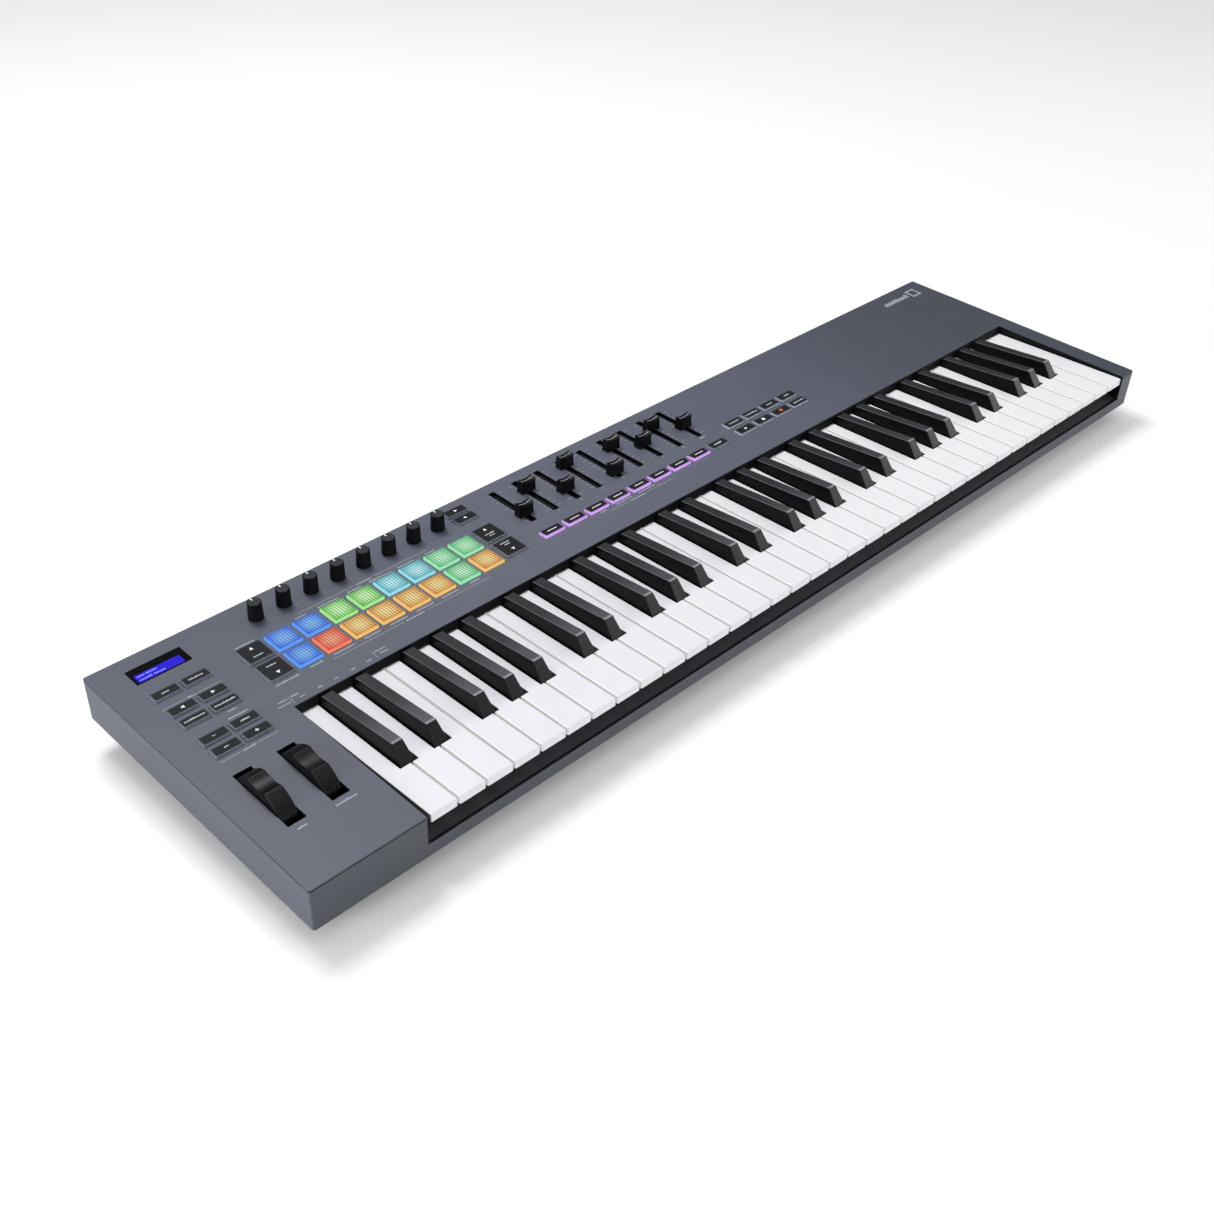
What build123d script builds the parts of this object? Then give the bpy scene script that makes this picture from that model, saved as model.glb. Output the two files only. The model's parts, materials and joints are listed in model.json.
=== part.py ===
"""Keyboard controller with sixty-one keys, two thumb wheels, pads, knobs, faders, buttons and a display.

Two working frames are used, both with x measured from the left edge of the case.
Level frame: y from the case's front edge, z from the floor.  Keys and everything under them use it.
Panel frame: v along the tilted control panel, w square to it, from the case's lower front edge.
Both are carried to the part frame, whose origin is the bottom centre of the whole instrument.
"""
import os
from math import cos, radians, sin, tan
from build123d import *

# Case
WIDTH, DEPTH, SIDE = 955.4, 258.0, 35.0   # outline of the case and height of its sides
TILT = 2.06                               # the panel rises to the back, and the keys lie level
EDGE_HEIGHT = 16.0                        # lower front edge of the case above the floor
WALL, PANEL = 3.0, 3.0
RIM, SEAM = 1.0, 0.7                      # edge of the panel that shows, and shadow gap under it
CORNER = 2.0
LEDGE = 12.0                              # the under-tray is set in by this much
TRAY_WALL = 2.5
FOOT_HEIGHT, FOOT_RADIUS = 3.0, 9.0
FRONT_Y = (SIDE * sin(radians(TILT)) - DEPTH * cos(radians(TILT))) / 2

# Key well
WELL_LEFT, WELL_RIGHT, WELL_BACK = 88.0, 936.6, 139.0
WELL_WALL = 2.5
WELL_BACK_FOOT, WELL_FOOT_W = 135.8, 29.2  # the back wall slants down to here
RAIL_TOP = 10.2

# Keys, level frame
PITCH, KEY_GAP = 23.47, 1.6
FIRST_KEY = 91.05
OCTAVES = 5
KEY_FRONT, KEY_TOP, LIP = 0.2, 49.0, 6.2
HEAD_BACK, TAIL_BACK = 46.9, 139.0
SKIN, LIP_SKIN, KEY_ROUND = 1.8, 2.5, 0.9
BLACK_BASE, BLACK_CROWN = 11.3, 8.8
NOTCH_BEFORE, NOTCH_AFTER = 1.0, 2.4      # gaps left and right of a black key
BLACK_FRONT, BLACK_CREST, BLACK_BACK = 47.85, 57.2, 133.6
BLACK_FRONT_TOP, BLACK_BACK_TOP, BLACK_BOTTOM = 61.5, 56.3, 44.5
ARM_WIDTH, ARM_LOW, ARM_HIGH, ARM_START = 7.0, 36.0, 42.6, 124.0
PIVOT_Y, PIVOT_Z, ROD_RADIUS, ROD_CLEAR = 186.0, 38.4, 1.6, 0.08
WHITE_NAMES = ("c", "d", "e", "f", "g", "a", "b")
# A black key follows these white keys, moved off the line between its neighbours by this much.
BLACK_SHIFT = {"c": -2.6, "d": 2.0, "f": -3.5, "g": -0.3, "a": 2.9}

# Keybed, level frame
FRAME_LOW, FRAME_HIGH, FRAME_FRONT, FRAME_BACK = 20.0, 22.5, 13.0, 196.0
STOP_TOP, STOP_WIDTH, FELT = 30.6, 6.0, 2.8
STRIP_FRONT, STRIP_BACK, STRIP_Z, BOARD = 92.0, 122.0, 31.0, 1.6
DOME_Y, DOME_RADIUS, DOME_TOP = 107.0, 4.0, 37.6

# Controls, panel frame
BUTTON = (18.6, 7.2)                      # face of a narrow button, inside its border
SQUARE = (18.6, 18.4)
BORDER, BORDER_RISE = 1.0, 1.8            # border round a button's face
BUTTON_RISE, BUTTON_FIT, FLANGE = 2.1, 0.25, 0.9
PAD, PAD_RISE, PAD_PITCH, PAD_COUNT = 20.2, 2.0, 24.0, 8
PAD_X, PAD_BACK_V = 124.0, 202.0
PAD_FRONT_V = PAD_BACK_V - PAD_PITCH
KNOB_V, KNOB_RADIUS, KNOB_TOP_RADIUS, KNOB_HEIGHT = 235.5, 5.75, 5.35, 14.5
KNOB_LIFT, FLUTES, FLUTE_RADIUS = 0.6, 20, 0.55
SHAFT_RADIUS, SHAFT_END = 3.0, 8.0
FADER_X, FADER_PITCH = 356.6, 24.45
SLOT_FRONT, SLOT_BACK, SLOT_WIDTH = 194.0, 246.5, 6.2
FADER_REST = (206.2, 230.4, 209.8, 236.6, 201.3, 230.6, 216.6, 229.8, 214.6)
CAP_WIDTH, CAP_DEPTH, CAP_CROWN, CAP_HEIGHT = 14.6, 8.6, 6.6, 11.6
TRANSPORT_X, TRANSPORT_PITCH = 589.3, 24.1
TRANSPORT_ROWS = (188.3, 174.2)
FADER_BUTTON_V = 173.7
LEFT_COLUMNS, LEFT_ROWS = (32.7, 56.1), (206.4, 185.6, 171.3, 148.3, 134.2)
BANK_SPOTS = ((100.2, 202.0), (100.2, 178.0), (316.6, 203.4), (316.6, 179.2))
SCROLL_SPOTS = ((316.5, 243.6), (316.5, 231.3))
WINDOW = (23.5, 66.0, 226.4, 243.6)
WINDOW_RISE, WINDOW_THICK = 0.3, 2.1

# Boards under the panel
BOARD_W = 24.0
BOARD_TOP = BOARD_W + BOARD
SWITCH_TOP = 29.2
CASING_TOP = 31.6

# Thumb wheels
WHEEL_X, WHEEL_V, WHEEL_W = (28.15, 61.15), 83.5, 17.2
WHEEL_RADIUS, WHEEL_WIDTH, HUB_RADIUS = 29.2, 12.8, 7.5
WHEEL_SLOT = (13.9, 50.5, 110.7)
THUMB_RADIUS, THUMB_DEPTH, SECTOR = 20.0, 3.6, 80.0
AXLE_RADIUS, AXLE_CLEAR = 2.0, 0.05
MOD_REST = 4.0

# Sockets on the back
SOCKET_W = 13.0
USB_X, MIDI_X, PEDAL_X = 150.0, 190.0, 230.0
MIDI_RADIUS, MIDI_BORE, MIDI_DEPTH = 7.9, 6.9, 9.0
JACK_RADIUS, JACK_BORE, JACK_DEPTH = 5.2, 3.25, 20.0

# Fixings
SCREW_XS = (112.0, 312.0, 512.0, 712.0, 912.0)
SCREW_YS = (34.0, 148.0)
SCREW_RADIUS, HEAD_RADIUS, HEAD_HEIGHT, POST_RADIUS = 1.5, 3.1, 2.0, 5.2
BOSS_SPOTS = ((75.5, 150.0), (75.5, 245.0), (337.0, 160.0), (337.0, 240.0),
              (571.0, 160.0), (571.0, 240.0), (684.0, 160.0), (684.0, 240.0))


def panel(shape):
    """Carry a shape from the panel frame to the part frame."""
    return Pos(-WIDTH / 2, FRONT_Y, EDGE_HEIGHT) * Rot(TILT, 0, 0) * shape


def level(shape):
    """Carry a shape from the level frame to the part frame."""
    return Pos(-WIDTH / 2, FRONT_Y, 0) * shape


def block(x0, x1, y0, y1, z0, z1):
    """Box between two opposite corners."""
    return Pos((x0 + x1) / 2, (y0 + y1) / 2, (z0 + z1) / 2) * Box(x1 - x0, y1 - y0, z1 - z0)


def rod(x, y, z0, z1, radius):
    """Upright cylinder."""
    return Pos(x, y, (z0 + z1) / 2) * Cylinder(radius, z1 - z0)


def cross_rod(x0, x1, y, z, radius):
    """Cylinder along x."""
    return Pos((x0 + x1) / 2, y, z) * Rot(0, 90, 0) * Cylinder(radius, x1 - x0)


def bore_rod(x, y0, y1, z, radius):
    """Cylinder along y."""
    return Pos(x, (y0 + y1) / 2, z) * Rot(90, 0, 0) * Cylinder(radius, y1 - y0)


def side_profile(points, x0, x1):
    """Closed outline of (y, z) points, extruded along x."""
    face = make_face(Plane.YZ * Polyline(*points, close=True))
    return Pos(x0, 0, 0) * extrude(face, x1 - x0, dir=(1, 0, 0))


def rounded_slab(w0, w1):
    """Slab with the outline of the case and rounded upright corners."""
    slab = block(0, WIDTH, 0, DEPTH, w0, w1)
    return fillet(slab.edges().filter_by(Axis.Z), CORNER)


def floor_w(v, z):
    """Height w, in the panel frame, of a level plane z above the floor."""
    return (z - EDGE_HEIGHT - v * sin(radians(TILT))) / cos(radians(TILT))


def joined(shapes):
    """All the shapes as one group of solids."""
    return Compound(children=[solid for shape in shapes for solid in shape.solids()])


def knob_xs():
    return [PAD_X + PAD_PITCH * i for i in range(PAD_COUNT)]


def fader_xs():
    return [FADER_X + FADER_PITCH * i for i in range(len(FADER_REST))]


def function_spots():
    return [(x, v) for v in LEFT_ROWS for x in LEFT_COLUMNS]


def fader_button_spots():
    return [(x, FADER_BUTTON_V) for x in fader_xs()]


def transport_spots():
    return [(TRANSPORT_X + TRANSPORT_PITCH * i, v) for v in TRANSPORT_ROWS for i in range(4)]


def pad_spots(v):
    return [(x, v) for x in knob_xs()]


# ---- Case ----

def window_block(grow, w0, w1):
    x0, x1, v0, v1 = WINDOW
    return block(x0 - grow, x1 + grow, v0 - grow, v1 + grow, w0, w1)


def panel_holes():
    """Everything that is cut through the panel for the controls."""
    low, high = SIDE - PANEL - 1, SIDE + 1
    holes = [window_block(0.1, low, high)]
    narrow = function_spots() + list(SCROLL_SPOTS) + fader_button_spots() + transport_spots()
    pads = pad_spots(PAD_BACK_V) + pad_spots(PAD_FRONT_V)
    for spots, (width, depth), border in ((narrow, BUTTON, BORDER), (BANK_SPOTS, SQUARE, BORDER),
                                          (pads, (PAD, PAD), 0)):
        half_x, half_v = width / 2 + border + BUTTON_FIT, depth / 2 + border + BUTTON_FIT
        holes += [block(x - half_x, x + half_x, v - half_v, v + half_v, low, high) for x, v in spots]
    holes += [rod(x, KNOB_V, low, high, SHAFT_RADIUS + 0.6) for x in knob_xs()]
    holes += [block(x - SLOT_WIDTH / 2, x + SLOT_WIDTH / 2, SLOT_FRONT, SLOT_BACK, low, high)
              for x in fader_xs()]
    width, front, back = WHEEL_SLOT
    holes += [block(x - width / 2, x + width / 2, front, back, low, high) for x in WHEEL_X]
    return holes


def top_panel():
    """Panel with the walls of the key well hanging from it and bosses for the control board."""
    sheet = rounded_slab(SIDE - RIM, SIDE)
    sheet = fillet(sheet.faces().sort_by(Axis.Z)[-1].edges(), 0.4)
    inset = WALL + 0.2
    sheet += block(inset, WIDTH - inset, inset, DEPTH - inset, SIDE - PANEL, SIDE - RIM / 2)
    sheet -= block(WELL_LEFT, WELL_RIGHT, -1, WELL_BACK, 0, SIDE + 1)
    sheet = sheet.cut(*panel_holes())
    under = SIDE - PANEL / 2
    sheet += block(WELL_LEFT - WELL_WALL, WELL_LEFT, inset, WELL_BACK, 9, under)
    sheet += block(WELL_RIGHT, WELL_RIGHT + WELL_WALL, inset, WELL_BACK, 9, under)
    slant = ((WELL_BACK, SIDE), (WELL_BACK_FOOT, WELL_FOOT_W), (WELL_BACK_FOOT + WELL_WALL, WELL_FOOT_W),
             (WELL_BACK + WELL_WALL, SIDE - PANEL / 2), (WELL_BACK + WELL_WALL, SIDE))
    sheet += side_profile(slant, WELL_LEFT - WELL_WALL, WELL_RIGHT + WELL_WALL)
    for x, v in BOSS_SPOTS:
        sheet += rod(x, v, BOARD_TOP, under, 3.0)
    return panel(sheet)


def lower_case():
    """Sides, back, cheek fronts and front rail, with a ledge round the open underside."""
    shell = rounded_slab(0, SIDE - RIM - SEAM)
    shell -= block(WALL, WIDTH - WALL, WELL_WALL, DEPTH - WALL, TRAY_WALL, SIDE)
    gap = LEDGE - 0.2
    shell -= block(gap, WIDTH - gap, gap, DEPTH - gap, -1, TRAY_WALL + 1)
    shell -= block(WELL_LEFT, WELL_RIGHT, -1, WELL_WALL + 1, RAIL_TOP, SIDE)
    back = (DEPTH - WALL - 1, DEPTH + 1)
    shell -= bore_rod(MIDI_X, *back, SOCKET_W, MIDI_RADIUS + 0.15)
    shell -= bore_rod(PEDAL_X, *back, SOCKET_W, JACK_RADIUS + 0.15)
    shell -= block(USB_X - 4.85, USB_X + 4.85, *back, SOCKET_W - 2.0, SOCKET_W + 2.0)
    return panel(shell)


def tray_prism(inset, low_z, high_w):
    """Wedge between a level bottom and the underside of the case."""
    front, back = LEDGE + inset, DEPTH - LEDGE - inset
    outline = ((front, floor_w(front, low_z)), (back, floor_w(back, low_z)), (back, high_w), (front, high_w))
    return side_profile(outline, front, WIDTH - front)


def bottom_tray():
    """Level-bottomed tub under the case, with posts for the screws and for the main board."""
    floor_z = FOOT_HEIGHT + TRAY_WALL
    tub = tray_prism(0, FOOT_HEIGHT, TRAY_WALL) - tray_prism(TRAY_WALL, floor_z, TRAY_WALL + 1)
    tub = Pos(0, 0, EDGE_HEIGHT) * Rot(TILT, 0, 0) * tub
    for x in SCREW_XS:
        for y in SCREW_YS:
            tub += rod(x, y, FOOT_HEIGHT, FRAME_LOW, POST_RADIUS)
            tub -= rod(x, y, FOOT_HEIGHT - 1, FRAME_LOW + 1, SCREW_RADIUS + 0.1)
            tub -= rod(x, y, FOOT_HEIGHT - 1, FOOT_HEIGHT + 3, HEAD_RADIUS + 0.3)
    for x in (126.0, 324.0):
        for y in (206.0, 230.0):
            tub += rod(x, y, floor_z - 0.5, 9.0, 2.5)
    return level(tub)


def rubber_feet():
    """Six round feet under the tray."""
    spots = [(x, y) for x in (40.0, WIDTH / 2, WIDTH - 40.0) for y in (30.0, 228.0)]
    foot = fillet(rod(0, 0, 0, FOOT_HEIGHT, FOOT_RADIUS).edges().sort_by(Axis.Z)[0], 0.6)
    return joined([level(Pos(x, y, 0) * foot) for x, y in spots])


def case_screws():
    """Pan-head screws that hold the tray to the keybed frame."""
    head_z = FOOT_HEIGHT + 3
    shapes = []
    for x in SCREW_XS:
        for y in SCREW_YS:
            screw = rod(x, y, head_z - HEAD_HEIGHT, head_z, HEAD_RADIUS)
            screw += rod(x, y, head_z, FRAME_HIGH + 1.5, SCREW_RADIUS)
            screw -= block(x - 2, x + 2, y - 0.35, y + 0.35, head_z - HEAD_HEIGHT - 1, head_z - 1)
            shapes.append(level(screw))
    return joined(shapes)


# ---- Keys ----

def arm(x, solid_top):
    """Tail of a key under the panel, with an open hook that sits on the pivot rod."""
    half = ARM_WIDTH / 2
    shape = block(x - half, x + half, ARM_START, TAIL_BACK, ARM_LOW, solid_top)
    shape += block(x - half, x + half, ARM_START, PIVOT_Y + 5, ARM_LOW, ARM_HIGH)
    radius = ROD_RADIUS + ROD_CLEAR
    shape -= cross_rod(x - half - 1, x + half + 1, PIVOT_Y, PIVOT_Z, radius)
    return shape - block(x - half - 1, x + half + 1, PIVOT_Y - radius, PIVOT_Y + radius, ARM_LOW - 1, PIVOT_Z)


def white_tail(name, next_black=True):
    """Left and right edges of a white key's tail, from the key's own left boundary."""
    index = WHITE_NAMES.index(name)
    before = BLACK_SHIFT.get(WHITE_NAMES[index - 1])
    after = BLACK_SHIFT.get(name) if next_black else None
    left = KEY_GAP / 2 if before is None else before + BLACK_BASE / 2 + NOTCH_AFTER
    right = PITCH - KEY_GAP / 2 if after is None else PITCH + after - BLACK_BASE / 2 - NOTCH_BEFORE
    return left, right


def white_key(name, next_black=True):
    """White key with its left boundary at x = 0: a hollow head and tail, a front lip and an arm."""
    left, right = white_tail(name, next_black)
    low = KEY_TOP - LIP
    edge = KEY_GAP / 2
    key = block(edge, PITCH - edge, KEY_FRONT, HEAD_BACK, low, KEY_TOP)
    key = fillet(key.edges().filter_by(Axis.Z).sort_by(Axis.Y)[:2], KEY_ROUND + 0.1)
    key += block(left, right, HEAD_BACK - 1, TAIL_BACK, low, KEY_TOP)
    key = fillet(key.faces().sort_by(Axis.Z)[-1].edges(), KEY_ROUND)
    roof = KEY_TOP - LIP_SKIN
    key -= block(edge + SKIN, PITCH - edge - SKIN, KEY_FRONT + LIP_SKIN, HEAD_BACK - SKIN, low - 1, roof)
    key -= block(left + SKIN, right - SKIN, HEAD_BACK - SKIN - 1, TAIL_BACK - SKIN, low - 1, roof)
    return key + arm((left + right) / 2, roof + 0.5)


def black_key():
    """Black key centred on x = 0: crown falling to the back, sloped front and tapered sides."""
    outline = ((BLACK_FRONT, BLACK_BOTTOM), (BLACK_FRONT, KEY_TOP), (BLACK_CREST, BLACK_FRONT_TOP),
               (BLACK_BACK, BLACK_BACK_TOP), (BLACK_BACK, BLACK_BOTTOM))
    base, crown = BLACK_BASE / 2, BLACK_CROWN / 2
    body = side_profile(outline, -base, base)
    section = ((-base, BLACK_BOTTOM), (base, BLACK_BOTTOM), (base, KEY_TOP), (crown, BLACK_FRONT_TOP),
               (crown, BLACK_FRONT_TOP + 1), (-crown, BLACK_FRONT_TOP + 1), (-crown, BLACK_FRONT_TOP),
               (-base, KEY_TOP))
    prism = make_face(Plane.XZ * Polyline(*section, close=True))
    body = body & (Pos(0, BLACK_BACK + 1, 0) * extrude(prism, BLACK_BACK - BLACK_FRONT + 2, dir=(0, -1, 0)))
    top = body.faces().filter_by(lambda face: face.normal_at().Z > 0.95).sort_by(Axis.Z)[-1]
    front = body.faces().filter_by(lambda face: face.normal_at().Y < -0.5 and face.normal_at().Z > 0.3)[0]
    body = fillet(top.edges() + front.edges().filter_by(lambda edge: edge.center().Z > KEY_TOP + 1), 0.9)
    body -= block(SKIN - base, base - SKIN, BLACK_CREST - 4, ARM_START - 1, BLACK_BOTTOM - 1, BLACK_BOTTOM + 8)
    return body + arm(0, BLACK_BOTTOM + 2)


def white_left(octave, index):
    return FIRST_KEY + PITCH * (len(WHITE_NAMES) * octave + index)


def black_centre(octave, name):
    return white_left(octave, WHITE_NAMES.index(name) + 1) + BLACK_SHIFT[name]


def white_group(name):
    """Every white key of one note name; the topmost C ends the keyboard and has no black key after it."""
    key = white_key(name)
    index = WHITE_NAMES.index(name)
    keys = [level(Pos(white_left(octave, index), 0, 0) * key) for octave in range(OCTAVES)]
    if name == "c":
        keys.append(level(Pos(white_left(OCTAVES, 0), 0, 0) * white_key(name, next_black=False)))
    return joined(keys)


def black_group(name):
    key = black_key()
    return joined([level(Pos(black_centre(octave, name), 0, 0) * key) for octave in range(OCTAVES)])


def arm_xs():
    """Middle of every key's arm, from left to right."""
    xs = [black_centre(octave, name) for octave in range(OCTAVES) for name in BLACK_SHIFT]
    for octave in range(OCTAVES):
        for index, name in enumerate(WHITE_NAMES):
            xs.append(white_left(octave, index) + sum(white_tail(name)) / 2)
    xs.append(white_left(OCTAVES, 0) + sum(white_tail("c", False)) / 2)
    return sorted(xs)


def rib_xs():
    """Places between two arms where the frame carries the pivot rod."""
    xs = arm_xs()
    steps = [(xs[i] + xs[i + 1]) / 2 for i in range(0, len(xs) - 1, 6)]
    return [xs[0] - PITCH / 4] + steps[1:] + [xs[-1] + PITCH / 3]


# ---- Keybed ----

def keybed_frame():
    """Chassis plate with the stop rail in front, board posts and ribs that carry the pivot rod."""
    left, right = WELL_LEFT + 0.6, WELL_RIGHT - 0.6
    frame = block(left, right, FRAME_FRONT, FRAME_BACK, FRAME_LOW, FRAME_HIGH)
    frame += block(left, right, FRAME_FRONT, FRAME_FRONT + STOP_WIDTH, FRAME_HIGH, STOP_TOP)
    for x in SCREW_XS:
        frame += rod(x, STRIP_BACK - 4, FRAME_HIGH - 0.5, STRIP_Z, 3.0)
        frame += rod(x, STRIP_FRONT + 4, FRAME_HIGH - 0.5, STRIP_Z, 3.0)
        for y in SCREW_YS:
            frame -= rod(x, y, FRAME_LOW - 1, FRAME_HIGH + 1, SCREW_RADIUS + 0.1)
    for x in rib_xs():
        frame += block(x - 1.5, x + 1.5, PIVOT_Y - 6, PIVOT_Y + 6, FRAME_HIGH - 0.5, PIVOT_Z + 3.2)
        frame -= cross_rod(x - 2, x + 2, PIVOT_Y, PIVOT_Z, ROD_RADIUS + 0.05)
    return level(frame)


def key_pivot_rod():
    """Steel rod that every key hooks over."""
    xs = rib_xs()
    return level(cross_rod(xs[0] - 2, xs[-1] + 2, PIVOT_Y, PIVOT_Z, ROD_RADIUS))


def key_springs():
    """Comb of spring fingers, one under each arm, drawn at the height of a pressed key."""
    xs = arm_xs()
    comb = block(xs[0] - 4, xs[-1] + 4, 152, 158, FRAME_HIGH, FRAME_HIGH + 0.6)
    finger = ((155.0, FRAME_HIGH), (172.4, 34.2), (177.0, 34.2), (177.0, 33.6), (172.7, 33.6), (156.2, FRAME_HIGH))
    blade = side_profile(finger, -2.0, 2.0)
    return level(comb.fuse(*[Pos(x, 0, 0) * blade for x in xs]))


def key_stop_felt():
    """Felt strip that the white keys land on."""
    return level(block(WELL_LEFT + 1, WELL_RIGHT - 1, FRAME_FRONT + 0.2, FRAME_FRONT + STOP_WIDTH - 0.2,
                       STOP_TOP, STOP_TOP + FELT))


def contact_board():
    """Long circuit board under the keys that reads them."""
    return level(block(WELL_LEFT + 4, WELL_RIGHT - 4, STRIP_FRONT, STRIP_BACK, STRIP_Z, STRIP_Z + BOARD))


def contact_rubber():
    """Rubber strip with one contact dome per key."""
    base = STRIP_Z + BOARD
    xs = arm_xs()
    strip = block(xs[0] - 5.4, xs[-1] + 5.4, DOME_Y - 8, DOME_Y + 8, base, base + 0.8)
    dome = Pos(0, DOME_Y, (base + DOME_TOP) / 2) * Cone(DOME_RADIUS, DOME_RADIUS - 1.2, DOME_TOP - base)
    return level(strip.fuse(*[Pos(x, 0, 0) * dome for x in xs]))


def main_board():
    """Processor board in the tray, with its chips and connectors."""
    top = 9.0 + BOARD
    board = block(120, 330, 200, 236, 9.0, top)
    board += block(180, 196, 210, 226, top - 0.2, top + 1.2)
    board += block(224, 236, 212, 224, top - 0.2, top + 1.0)
    for x in (140.0, 270.0, 300.0):
        board += block(x, x + 16, 203, 208, top - 0.2, top + 5)
    return level(board)


# ---- Control boards ----

def control_board():
    """Board under the panel that carries the switches, sensors, pots and fader tracks."""
    board = block(14, 84, 126, 251, BOARD_W, BOARD_TOP) + block(80, 690, 150, 251, BOARD_W, BOARD_TOP)
    return panel(board)


def control_switches():
    """One switch under each button and one force sensor under each pad."""
    spots = function_spots() + list(BANK_SPOTS) + list(SCROLL_SPOTS) + fader_button_spots() + transport_spots()
    switch = block(-3, 3, -3, 3, BOARD_TOP, SWITCH_TOP - 1) + rod(0, 0, SWITCH_TOP - 1.2, SWITCH_TOP, 1.7)
    sensor = block(-8.5, 8.5, -8.5, 8.5, BOARD_TOP, SWITCH_TOP)
    pads = pad_spots(PAD_BACK_V) + pad_spots(PAD_FRONT_V)
    return joined([panel(Pos(x, v, 0) * switch) for x, v in spots]
                  + [panel(Pos(x, v, 0) * sensor) for x, v in pads])


def display_window():
    """Black glossy window over the display."""
    window = window_block(0, SIDE + WINDOW_RISE - WINDOW_THICK, SIDE + WINDOW_RISE)
    return panel(fillet(window.edges().filter_by(Axis.Z), 0.8))


def display_module():
    """Backlit display under the window."""
    x0, x1, v0, v1 = WINDOW
    top = SIDE + WINDOW_RISE - WINDOW_THICK
    return panel(block(x0 + 2, x1 - 2, v0 + 0.8, v1 - 2, BOARD_TOP, top))


def knob_pots():
    """Rotary potentiometers; each knob's shaft turns in one."""
    pot = block(-5, 5, -5, 5, BOARD_TOP, CASING_TOP) - rod(0, 0, BOARD_TOP + 1, CASING_TOP + 1, SHAFT_RADIUS + 0.1)
    return joined([panel(Pos(x, KNOB_V, 0) * pot) for x in knob_xs()])


def fader_tracks():
    """Slide potentiometers with an open channel for the fader's stem."""
    track = block(-4.5, 4.5, SLOT_FRONT - 3, SLOT_BACK + 3, BOARD_TOP, CASING_TOP)
    track -= block(-2.0, 2.0, SLOT_FRONT - 0.5, SLOT_BACK + 0.5, BOARD_TOP + 1.2, CASING_TOP + 1)
    return joined([panel(Pos(x, 0, 0) * track) for x in fader_xs()])


# ---- Sockets ----

def usb_socket():
    """Small flat data and power socket."""
    face = DEPTH - 0.4
    shell = block(-4.6, 4.6, face - 9, face, -1.75, 1.75)
    shell = fillet(shell.edges().filter_by(Axis.Y), 1.6) - block(-4.2, 4.2, face - 7, face + 1, -1.35, 1.35)
    shell += block(-3.2, 3.2, face - 8, face - 1.5, -0.35, 0.35)
    shell += block(-6.5, 6.5, DEPTH - WALL - 12, DEPTH - WALL - 5, -5, 5)
    return panel(Pos(USB_X, 0, SOCKET_W) * shell)


def midi_socket():
    """Round five-pin socket: a cup in a square body."""
    face = DEPTH - 0.4
    body = block(-9.5, 9.5, DEPTH - WALL - 12, DEPTH - WALL - 0.3, -9, 9)
    body += bore_rod(0, DEPTH - WALL - 2, face, 0, MIDI_RADIUS)
    body -= bore_rod(0, face - MIDI_DEPTH, face + 1, 0, MIDI_BORE)
    return panel(Pos(MIDI_X, 0, SOCKET_W) * body)


def pedal_jack():
    """Quarter-inch pedal socket: a box with a threaded nose."""
    face = DEPTH - 0.4
    body = block(-7, 7, DEPTH - WALL - 24, DEPTH - WALL - 0.3, -7, 7)
    body += bore_rod(0, DEPTH - WALL - 2, face, 0, JACK_RADIUS)
    body -= bore_rod(0, face - JACK_DEPTH, face + 1, 0, JACK_BORE)
    return panel(Pos(PEDAL_X, 0, SOCKET_W) * body)


# ---- Buttons and pads ----

def soft_block(width, depth, low, high, crown):
    """Upright block with rounded corners and a rounded top edge."""
    shape = block(-width / 2, width / 2, -depth / 2, depth / 2, low, high)
    shape = fillet(shape.edges().filter_by(Axis.Z), 0.8)
    return fillet(shape.faces().sort_by(Axis.Z)[-1].edges(), crown)


def press_cap(width, depth, rise, crown, border):
    """Cap that stands through the panel, with a flange under it; z = 0 is the panel's own face."""
    under = PANEL + 0.3
    cap = soft_block(width, depth, -under - 0.5, rise, crown)
    if border:
        cap += soft_block(width + 2 * border, depth + 2 * border, -under - 0.5, BORDER_RISE, crown)
    half_x, half_y = width / 2 + border + FLANGE, depth / 2 + border + FLANGE
    return cap + block(-half_x, half_x, -half_y, half_y, -under - 1.3, -under)


def caps(spots, size, rise=BUTTON_RISE, crown=0.4, border=BORDER):
    cap = press_cap(*size, rise, crown, border)
    return [panel(Pos(x, v, SIDE) * cap) for x, v in spots]


def pads(v):
    """One row of pads."""
    return joined(caps(pad_spots(v), (PAD, PAD), PAD_RISE, 0.8, 0))


# ---- Knobs, faders and wheels ----

def knob():
    """Fluted knob with its shaft, standing on the panel's face."""
    height = KNOB_HEIGHT - KNOB_LIFT
    body = Pos(0, 0, KNOB_LIFT + height / 2) * Cone(KNOB_RADIUS, KNOB_TOP_RADIUS, height)
    body = fillet(body.edges().sort_by(Axis.Z)[-1], 0.5)
    flute = rod(KNOB_RADIUS + 0.25, 0, 0, KNOB_HEIGHT - 1.6, FLUTE_RADIUS)
    body = body.cut(*[Rot(0, 0, 360 / FLUTES * i) * flute for i in range(FLUTES)])
    return body + rod(0, 0, -SHAFT_END, KNOB_LIFT + 1, SHAFT_RADIUS)


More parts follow.
